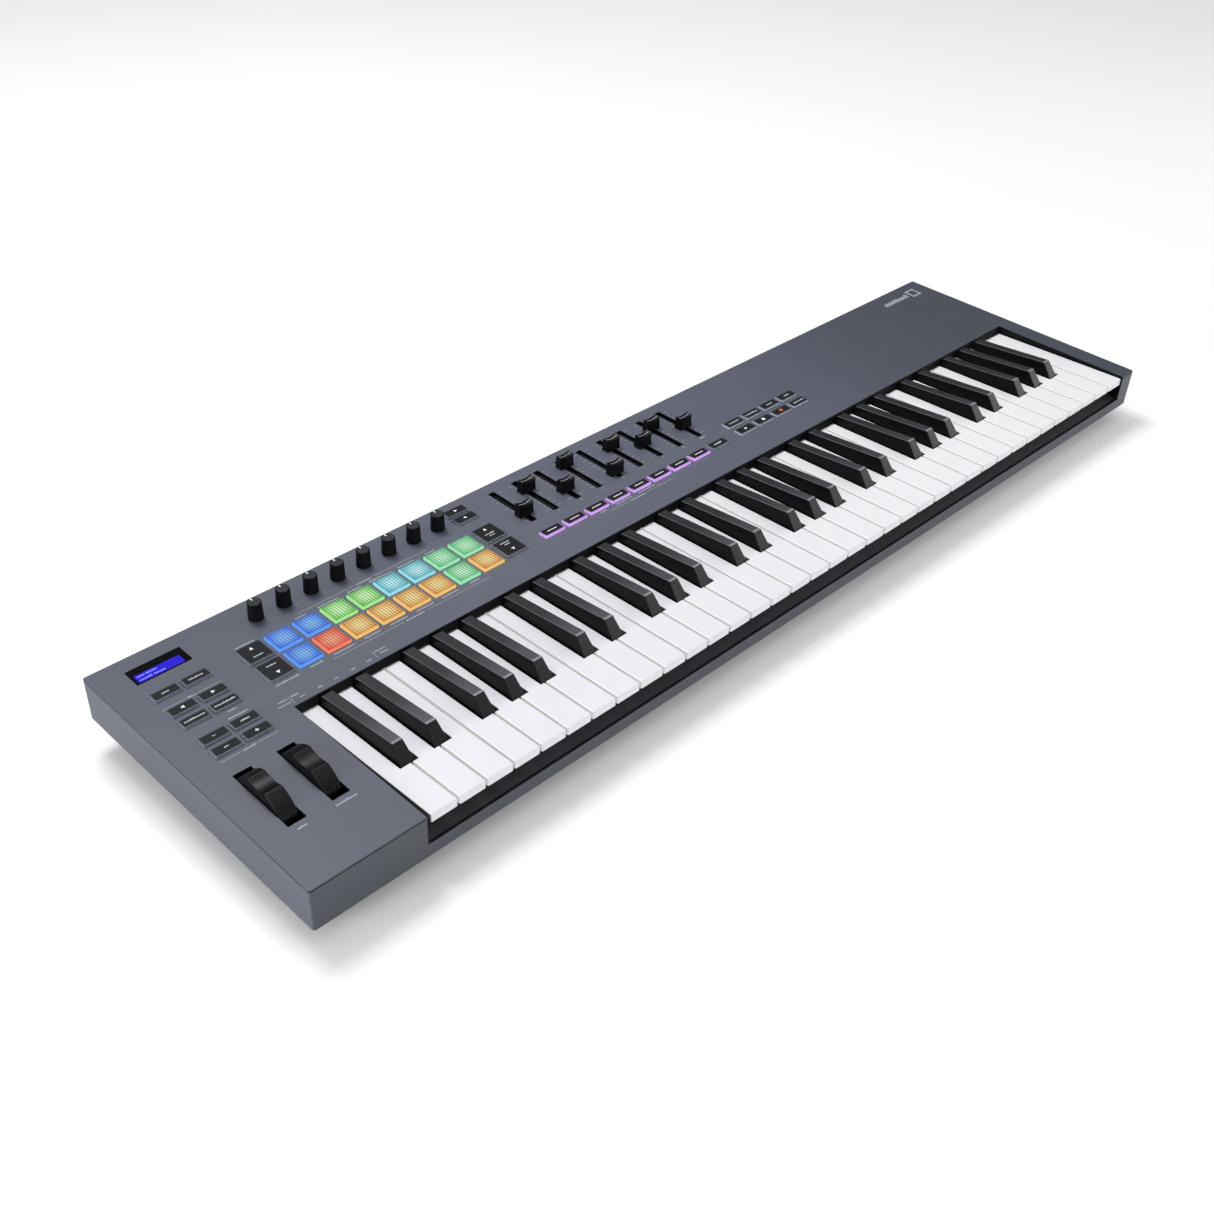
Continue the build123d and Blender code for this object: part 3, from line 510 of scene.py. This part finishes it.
# Dark colour, light colour, roughness, and what differs from plain moulded plastic.
PLASTICS = {
    "tray_plastic": ((26, 27, 30), (33, 34, 38), (0.55, 0.7), {"grain": 0.6, "depth": 0.05}),
    "foot_rubber": ((14, 14, 15), (24, 24, 25), (0.75, 0.9), {"grain": 0.8, "depth": 0.05}),
    "chassis_plastic": ((40, 41, 49), (48, 49, 57), (0.6, 0.75), {}),
    "contact_rubber": ((60, 60, 62), (74, 74, 76), (0.7, 0.85), {}),
    "switch_plastic": ((28, 28, 30), (40, 40, 42), (0.4, 0.55), {}),
    "display_light": ((30, 34, 120), (40, 44, 150), (0.3, 0.4), {}),
    "track_steel": ((14, 14, 16), (20, 20, 22), (0.5, 0.65), {}),
    "socket_plastic": ((16, 16, 17), (24, 24, 26), (0.4, 0.55), {}),
    "wheel_plastic": ((4, 4, 6), (9, 9, 11), (0.3, 0.4),
                      {"grain": 0.7, "depth": 0.02, "Specular_IOR_Level": 0.3}),
    "fader_plastic": ((6, 6, 7), (13, 13, 14), (0.34, 0.46),
                      {"grain": 0.7, "depth": 0.015, "Specular_IOR_Level": 0.15}),
}
# Colour, roughness and the direction of brushing.
METALS = {
    "screw_steel": ((150, 152, 158), (0.25, 0.4), (1, 1, 1)),
    "rod_steel": ((190, 192, 196), (0.18, 0.3), (8, 1, 1)),
    "spring_steel": ((170, 172, 178), (0.25, 0.4), (1, 6, 1)),
    "socket_steel": ((165, 167, 172), (0.22, 0.35), (1, 1, 1)),
}
materials = {
    "case_plastic": case_plastic(),
    "stop_felt": felt("stop_felt", (70, 18, 20), (120, 34, 34)),
    "circuit_board": board("circuit_board"),
    "window_gloss": window_shade(),
    "white_key": white_plastic(),
    "black_key": black_plastic(),
    "knob_rubber": knob_shade(),
    "button_rubber": cap_shade("button_rubber", (224, 230, 242)),
}
for name, (dark, light, rough, more) in PLASTICS.items():
    materials[name] = moulded(name, dark, light, rough, **more)
for name, (colour, rough, along) in METALS.items():
    materials[name] = metal(name, colour, rough, along)
lit_buttons = FADERS[0][0] - FADER_PITCH / 2, FADERS[-1][0] - FADER_PITCH / 2
special = {
    "pads_back_row": pad_shade("pad_back", PADS[0][1], BACK_COLOURS),
    "pads_front_row": pad_shade("pad_front", islands("pads_front_row")[0][1], FRONT_COLOURS),
    "function_buttons": cap_shade("button_left", (84, 89, 98)),
    "bank_buttons": cap_shade("button_bank", (84, 89, 98)),
    "fader_buttons": cap_shade("button_lit", (150, 157, 170), lit_buttons),
}
for name, node in nodes.items():
    slot_name = node.data.materials[0].name.split(".")[0]
    shade = special.get(name) or materials[slot_name]
    node.data.materials.clear()
    node.data.materials.append(shade.mat)

white_ink = ink("print_ink", (176, 179, 188))
# backlit marks on the buttons glow from their lamps; the knobs' marks use this ink too, a painted glow
lamp_and_painted_glow_ink = ink("lit_mark", (232, 233, 236), 0.25)
word_ink = ink("word_mark", (196, 198, 204), 0.05)
red_ink = ink("record_mark", (225, 84, 62), 0.3)
display_ink = ink("display_mark", (112, 118, 244), 0.6)
slip_plastic = moulded("slip_plastic", (43, 45, 51), (50, 52, 58), (0.5, 0.62), grain=0.6, depth=0.04)


# ---- Pieces ----

def place(name, mesh, body, shade):
    """Turns a bmesh into a piece that rides on a body."""
    data = bpy.data.meshes.new(name)
    mesh.to_mesh(data)
    mesh.free()
    data.materials.append(shade.mat)
    piece = bpy.data.objects.new(name, data)
    bpy.context.scene.collection.objects.link(piece)
    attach(piece, body)


def loft(rows):
    """Closed solid through equal rows of points, each of them one section."""
    mesh = bmesh.new()
    rings = [[mesh.verts.new(point) for point in row] for row in rows]
    for first, second in zip(rings, rings[1:]):
        for i in range(len(first)):
            j = (i + 1) % len(first)
            mesh.faces.new((first[i], first[j], second[j], second[i]))
    mesh.faces.new(rings[0][::-1])
    mesh.faces.new(rings[-1])
    bmesh.ops.recalc_face_normals(mesh, faces=mesh.faces)
    return mesh


RIGHT, UPWARD, LEFT, DOWN = 0, 90, 180, 270   # turn of an arrow


class Marks:
    """Thin raised shapes in panel coordinates, gathered in one mesh."""

    SUNK, RAISED = 0.05, 0.04             # depth below the surface and height above it
    BLOCK, GAP, LEAST = (0.65, 1.05), 0.36, 0.3   # width of a word's blocks, their gap, least room for one
    HEIGHTS = 0.72, 0.72, 0.72, 1.0       # a block's height as a share of the word's
    FONT_SHARE = 0.72                     # a numeral's height as a share of the font's size

    def __init__(self, height):
        self.mesh = bmesh.new()
        self.low, self.high = height - self.SUNK, height + self.RAISED
        self.dice = random.Random(7)

    def outline(self, points):
        """Prism on a closed anticlockwise outline of (x, v) points."""
        low = [self.mesh.verts.new(on_panel(x, v, self.low)) for x, v in points]
        high = [self.mesh.verts.new(on_panel(x, v, self.high)) for x, v in points]
        self.mesh.faces.new(high)
        self.mesh.faces.new(low[::-1])
        for i in range(len(points)):
            j = (i + 1) % len(points)
            self.mesh.faces.new((low[i], low[j], high[j], high[i]))

    def bar(self, x0, x1, v0, v1):
        self.outline(((x0, v0), (x1, v0), (x1, v1), (x0, v1)))

    def line(self, x0, x1, v, thick=0.34):
        self.bar(x0, x1, v - thick / 2, v + thick / 2)

    def disc(self, x, v, radius, count=20):
        turns = [2 * math.pi * i / count for i in range(count)]
        self.outline([(x + radius * math.cos(turn), v + radius * math.sin(turn)) for turn in turns])

    def arrow(self, x, v, size, turn):
        """Triangle that points along +x, turned anticlockwise by turn degrees."""
        spots = []
        for radius, degrees in ((size, turn), (size * 0.9, turn + 125), (size * 0.9, turn - 125)):
            angle = math.radians(degrees)
            spots.append((x + radius * math.cos(angle), v + radius * math.sin(angle)))
        self.outline(spots)

    def words(self, x0, x1, v, tall=1.5):
        """Row of small blocks that stands for a word."""
        x = x0
        while x < x1 - self.LEAST:
            width = min(self.dice.uniform(*self.BLOCK), x1 - x)
            high = tall * self.dice.choice(self.HEIGHTS)
            self.bar(x, x + width, v - tall / 2, v - tall / 2 + high)
            x += width + self.GAP

    def heading(self, v, left, word, right):
        """Word in the gap of a ruled line."""
        self.line(*left, v)
        self.line(*right, v)
        self.words(*word, v)

    def number(self, number, x, v, tall):
        """Numeral from the built-in font, as a solid."""
        curve = bpy.data.curves.new("number", "FONT")
        curve.body = str(number)
        curve.size = tall / self.FONT_SHARE
        curve.align_x = "CENTER"
        curve.extrude = (self.high - self.low) / 2
        curve.resolution_u = 3
        carrier = bpy.data.objects.new("number", curve)
        solid = bpy.data.meshes.new_from_object(carrier)
        middle = (self.low + self.high) / 2
        for vert in solid.vertices:
            vert.co = on_panel(x + vert.co.x, v + vert.co.y - tall / 2, middle + vert.co.z)
        self.mesh.from_mesh(solid)
        bpy.data.objects.remove(carrier)
        bpy.data.curves.remove(curve)
        bpy.data.meshes.remove(solid)

    def done(self, name, body, shade, slot="print_ink"):
        bmesh.ops.remove_doubles(self.mesh, verts=self.mesh.verts, dist=1e-7)
        place(name, self.mesh, body, shade)


def print_by_pads(marks):
    """A word for most pads, a heading for each row, and a word for each square button at the left."""
    marks.heading(219.6, (148.3, 197.8), (200.8, 214.6), (217.5, 267.8))
    rows = ((215.9, 0.0, (None, 8.5, 17.9, 12.4, 20.0, 15.5, 10.0, None)),
            (164.9, 1.5, (10.5, 17.5, 14.0, 15.5, 15.8, 15.8, 9.8, None)))
    for v, shift, widths in rows:
        for (x, _), width in zip(PADS, widths):
            if width:
                marks.words(x - width / 2 + shift, x + width / 2 + shift, v)
    marks.heading(161.0, (137.0, 198.5), (201.5, 217.8), (221.1, 280.8))
    marks.words(92.6, 108.8, 215.6)
    marks.words(91.0, 110.1, 163.9)


def print_behind_keys(marks):
    """Small words over the first keys, and the two upright lines that part them."""
    for x, v0, v1 in ((90.8, 141.4, 149.2), (161.0, 141.8, 150.2)):
        marks.bar(x - 0.17, x + 0.17, v0, v1)
    for x0, x1, v in ((82.0, 89.2, 148.2), (79.8, 89.2, 144.2), (92.6, 98.8, 148.2), (97.0, 100.8, 144.2),
                      (111.2, 114.8, 143.8), (124.6, 128.2, 143.8), (138.8, 142.4, 143.8),
                      (152.0, 156.2, 143.8), (163.0, 172.0, 148.4), (165.0, 171.6, 144.8)):
        marks.words(x0, x1, v, 1.4)


def print_left_block(marks):
    """Headings and words round the narrow buttons, and a word in front of each wheel."""
    marks.heading(193.4, (21.7, 39.6), (41.0, 48.0), (49.4, 67.3))
    marks.words(53.2, 59.5, 163.8, 1.3)
    marks.words(49.3, 63.9, 157.2)
    marks.heading(125.7, (22.4, 38.0), (39.6, 49.4), (50.9, 67.0))
    marks.words(24.4, 31.4, 45.4, 1.7)
    marks.words(53.4, 69.0, 45.6, 1.7)


def print_faders(marks):
    """Number and scale of each fader, and the words and the heading in front of their buttons."""
    scale_v, tick_pitch, slot_edge = 198.0, 5.575, 3.9
    for number, (x, _) in enumerate(FADERS, start=1):
        if number < len(FADERS):
            marks.number(number, x, 190.9, 2.2)
        else:
            marks.words(x - 3.7, x + 3.7, 191.0)
        for index in range(9):
            reach = 4.6 if index % 4 == 0 else 3.2
            for side in (-1, 1):
                left, right = sorted((x + side * slot_edge, x + side * (slot_edge + reach)))
                marks.line(left, right, scale_v + tick_pitch * index, 0.3)
    marks.words(403.0, 410.2, 166.7, 1.3)
    marks.words(421.7, 439.3, 166.7, 1.3)
    marks.words(446.5, 465.5, 166.9, 1.3)
    marks.line(411.0, 432.0, 163.2)
    marks.words(434.3, 451.2, 163.0)
    marks.line(453.4, 485.0, 163.2)


def print_badge(marks):
    """Row of blocks and a square outline, which stand for the name and badge in the back right corner."""
    marks.words(884.0, 922.0, 241.0, 6.4)
    x, v, size, thick = 925.4, 234.2, 13.0, 1.9
    marks.bar(x, x + size, v, v + thick)
    marks.bar(x, x + size, v + size - thick, v + size)
    marks.bar(x, x + thick, v + thick, v + size - thick)
    marks.bar(x + size - thick, x + size, v + thick, v + size - thick)


def print_panel():
    """Fine pale lines, block words and numerals on the panel itself."""
    marks = Marks(0.0)
    print_by_pads(marks)
    print_behind_keys(marks)
    print_left_block(marks)
    for number, x in enumerate(KNOBS, start=1):
        marks.number(number, x + 5.6, 228.3, 1.6)
    print_faders(marks)
    print_badge(marks)
    marks.done("panel_print", "case", white_ink)


def print_function_buttons():
    """Words, two arrows, a minus and a plus on the narrow buttons at the left."""
    caps = islands("function_buttons")
    words, lit = Marks(BUTTON_FACE), Marks(BUTTON_FACE)
    for index, start, end, tall in ((0, -2.9, 2.4, 1.6), (1, -5.5, 5.3, 1.6), (4, -7.8, 7.7, 1.6),
                                    (5, -7.9, 7.8, 1.6), (6, -1.2, 1.4, 0.9), (7, -3.2, 3.4, 1.6)):
        x, v = caps[index]
        words.words(x + start, x + end, v, tall)
    for index, shift, turn in ((2, 0.4, LEFT), (3, -0.2, RIGHT)):
        lit.arrow(caps[index][0] + shift, caps[index][1], 1.9, turn)
    (minus_x, v), (plus_x, _) = caps[8:]
    lit.bar(minus_x - 1.7, minus_x + 1.7, v - 0.25, v + 0.25)
    lit.bar(plus_x - 1.6, plus_x + 1.6, v - 0.25, v + 0.25)
    for v0, v1 in ((-1.6, -0.3), (0.3, 1.6)):
        lit.bar(plus_x - 0.25, plus_x + 0.25, v + v0, v + v1)
    words.done("function_words", "function_buttons", word_ink)
    lit.done("function_marks", "function_buttons", lamp_and_painted_glow_ink)


def print_bank_buttons():
    """Arrow and words on each square button by the pads, and an arrow on each narrow one by the knobs."""
    caps = islands("bank_buttons")
    (x, low_v), (_, high_v), (x2, low_v2), (_, high_v2) = sorted(caps[2:])
    words, lit = Marks(BUTTON_FACE), Marks(BUTTON_FACE)
    for x0, x1, v in ((x - 4.0, x + 4.0, high_v - 4.6), (x - 3.6, x + 4.0, low_v + 4.6),
                      (x2 - 5.0, x2 + 4.0, high_v2 - 1.4), (x2 - 2.8, x2 + 2.6, high_v2 - 4.2),
                      (x2 - 4.6, x2 + 4.2, low_v2 + 5.8), (x2 - 2.4, x2 + 3.0, low_v2 + 3.0)):
        words.words(x0, x1, v)
    lit.arrow(x, high_v + 4.2, 2.0, UPWARD)
    lit.arrow(x, low_v - 4.4, 2.0, DOWN)
    lit.arrow(x2, high_v2 + 4.6, 2.0, UPWARD)
    lit.arrow(x2 + 0.3, low_v2 - 4.2, 2.0, DOWN)
    lit.arrow(*caps[0], 1.9, RIGHT)
    lit.arrow(*caps[1], 1.9, LEFT)
    words.done("bank_words", "bank_buttons", word_ink)
    lit.done("bank_marks", "bank_buttons", lamp_and_painted_glow_ink)


def print_fader_buttons():
    """Bar on each lit button and a word on the last one."""
    lit = Marks(BUTTON_FACE)
    for x, v in FADERS[:-1]:
        lit.bar(x - 4.9, x + 4.9, v - 0.38, v + 0.38)
    x, v = FADERS[-1]
    lit.words(x - 4.8, x + 4.6, v)
    lit.done("fader_button_marks", "fader_buttons", lamp_and_painted_glow_ink)


def print_transport_buttons():
    """Words on the back row and on the last button, and play, stop and record marks on the others."""
    caps = islands("transport_buttons")
    words, lit, red = Marks(BUTTON_FACE), Marks(BUTTON_FACE), Marks(BUTTON_FACE)
    spans = (-6.0, 6.2), (-8.4, 8.0), (-3.6, 4.4), (-3.2, 4.0), (-6.4, 7.4)
    for (x, v), (start, end) in zip(caps[:4] + caps[7:], spans):
        words.words(x + start, x + end, v, 1.7)
    lit.arrow(*caps[4], 2.0, RIGHT)
    x, v = caps[5]
    lit.bar(x - 1.6, x + 1.6, v - 1.6, v + 1.6)
    red.disc(*caps[6], 1.8)
    words.done("transport_words", "transport_buttons", word_ink)
    lit.done("transport_marks", "transport_buttons", lamp_and_painted_glow_ink)
    red.done("record_mark", "transport_buttons", red_ink)


def print_display():
    """Two rows of blocks on the display."""
    marks = Marks(0.3)
    for v, runs in ((234.0, ((27.4, 32.8), (34.2, 42.6))), (229.8, ((27.4, 37.0), (38.4, 47.0)))):
        for x0, x1 in runs:
            marks.words(x0, x1, v, 2.0)
    marks.done("display_marks", "case", display_ink, "display_light")


def knob_marks():
    """White mark on each knob, over the back of its top edge, in the glowing ink: a painted glow."""
    # Outline of the mark, as distance from the knob's axis and w.
    section = ((2.2, 14.4), (2.2, 14.58), (4.7, 14.58), (5.2, 14.3), (5.1, 14.0))
    for number, x in enumerate(KNOBS, start=1):
        rows = [[on_panel(x + side, KNOB_V + reach, w) for reach, w in section] for side in (-0.5, 0.5)]
        # the glowing ink gives these marks a painted glow
        place(f"knob_{number}_mark", loft(rows), f"knob_{number}", lamp_and_painted_glow_ink)


def fader_lines():
    """Pale line along the bottom of each fader cap's dip, a painted highlight."""
    dip_radius, dip_w, half_length, steps = 15.0, 9.7, 6.4, 16
    cap_w = 6.0                           # the stem of a fader ends below this
    section = ((-0.2, -0.2), (0.2, -0.2), (0.2, 0.06), (-0.2, 0.06))
    for number in range(1, len(FADERS) + 1):
        name = f"fader_{number}"
        points = [in_panel(vert.co) for vert in nodes[name].data.vertices]
        x, v = centre([point for point in points if point[2] > cap_w])
        rows = []
        for step in range(steps + 1):
            offset = -half_length + 2 * half_length * step / steps
            height = dip_w + dip_radius - math.sqrt(dip_radius ** 2 - offset ** 2)
            rows.append([on_panel(x + offset, v + along, height + up) for along, up in section])
        # painted highlight along the dip
        place(f"{name}_line", loft(rows), name, word_ink)


def key_slip():
    """Slanted dark strip that closes the gap between the front rail and the keybed."""
    low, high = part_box("keybed_frame")
    # From the front rail back to the stop rail, in mm from the keybed's lower front edge.
    section = ((-10.6, 3.6), (-10.6, 5.9), (-9.9, 6.1), (-0.6, 9.9), (-0.05, 9.6), (-0.05, 7.4))
    rows = [[(x, low.y + y * MM, low.z + z * MM) for y, z in section]
            for x in (low.x - 0.5 * MM, high.x + 0.5 * MM)]
    place("key_slip", loft(rows), "case", slip_plastic)


print_panel()
print_function_buttons()
print_bank_buttons()
print_fader_buttons()
print_transport_buttons()
print_display()
knob_marks()
fader_lines()
key_slip()


# ---- Studio ----

# Place and aim in metres, size of the square, power in watts and colour.
LIGHTS = {
    "back_light": ((-0.15, 0.95, 2.1), (-0.05, 0, 0), 0.8, 27, (1, 1, 1)),
    "left_light": ((-2.3, 0.1, 0.45), (-0.3, 0, 0), 1.0, 21, (1, 1, 1)),
    "front_light": ((-0.3, -2.6, 0.5), (-0.1, 0, 0), 1.0, 15, (1, 1, 1)),
    "right_light": ((1.7, -0.95, 0.6), (0.3, 0, 0), 0.6, 4, (1.0, 0.97, 0.93)),
}
# The sky lights the object less from low down than from above, and looks evenly pale behind it.
SKY_LOW, SKY_HIGH = 0.36, 0.8             # height on the unit sphere of the sky, from 0 to 1
SKY_DARK, SKY_BRIGHT, SKY_SEEN = 0.04, 0.74, 0.62
FLOOR_HALF = 6.0
CAMERA_SPOT = (-0.77638, -0.66196, 0.68695)
CAMERA_FORWARD = Vector((0.575892, 0.566249, -0.589669))
CAMERA_RIGHT = Vector((0.707626, -0.706473, 0.012679))


def add_floor():
    mesh = bmesh.new()
    bmesh.ops.create_grid(mesh, x_segments=2, y_segments=2, size=FLOOR_HALF)
    data = bpy.data.meshes.new("floor")
    mesh.to_mesh(data)
    mesh.free()
    floor = bpy.data.objects.new("floor", data)
    bpy.context.scene.collection.objects.link(floor)
    shade = Shade("studio_floor", Roughness=0.8, Emission_Color=(1, 1, 1, 1), Emission_Strength=0.14)
    shade.put("Base Color", shade.tint(shade.noise(400.0), (244, 244, 245), (248, 248, 248)))
    data.materials.append(shade.mat)


def add_lights():
    for name, (spot, aim, size, power, colour) in LIGHTS.items():
        light = bpy.data.lights.new(name, "AREA")
        light.shape = "SQUARE"
        light.size, light.energy, light.color = size, power, colour
        lamp = bpy.data.objects.new(name, light)
        lamp.location = spot
        lamp.rotation_euler = (Vector(aim) - Vector(spot)).to_track_quat("-Z", "Y").to_euler()
        bpy.context.scene.collection.objects.link(lamp)


def add_sky():
    world = bpy.data.worlds.new("studio")
    world.use_nodes = True
    tree = world.node_tree
    background = tree.nodes["Background"]
    background.inputs["Color"].default_value = (1, 1, 1, 1)
    kinds = ("TexCoord", "SeparateXYZ", "MapRange", "LightPath", "Mix")
    texture, split, rise, path, seen = (tree.nodes.new("ShaderNode" + kind) for kind in kinds)
    rise.interpolation_type = "SMOOTHSTEP"
    for index, value in enumerate((SKY_LOW, SKY_HIGH, SKY_DARK, SKY_BRIGHT), start=1):
        rise.inputs[index].default_value = value
    seen.inputs["B"].default_value = SKY_SEEN
    for output, socket in ((texture.outputs["Generated"], split.inputs[0]),
                           (split.outputs["Z"], rise.inputs[0]),
                           (path.outputs["Is Camera Ray"], seen.inputs["Factor"]),
                           (rise.outputs[0], seen.inputs["A"]),
                           (seen.outputs[0], background.inputs["Strength"])):
        tree.links.new(output, socket)
    bpy.context.scene.world = world


def add_camera():
    """Camera where a perspective fit of the keys and the case puts the photographer's."""
    data = bpy.data.cameras.new("camera")
    data.sensor_width, data.lens = 36.0, 43.405
    data.clip_start, data.clip_end = 0.02, 30.0
    camera = bpy.data.objects.new("camera", data)
    up = CAMERA_RIGHT.cross(CAMERA_FORWARD).normalized()
    turned = Matrix((CAMERA_RIGHT, up, -CAMERA_FORWARD)).transposed().to_4x4()
    camera.matrix_world = Matrix.Translation(CAMERA_SPOT) @ turned
    bpy.context.scene.collection.objects.link(camera)
    bpy.context.scene.camera = camera


add_floor()
add_lights()
add_sky()
add_camera()
bpy.context.scene.view_settings.view_transform = "Standard"
bpy.context.scene.view_settings.look = "None"
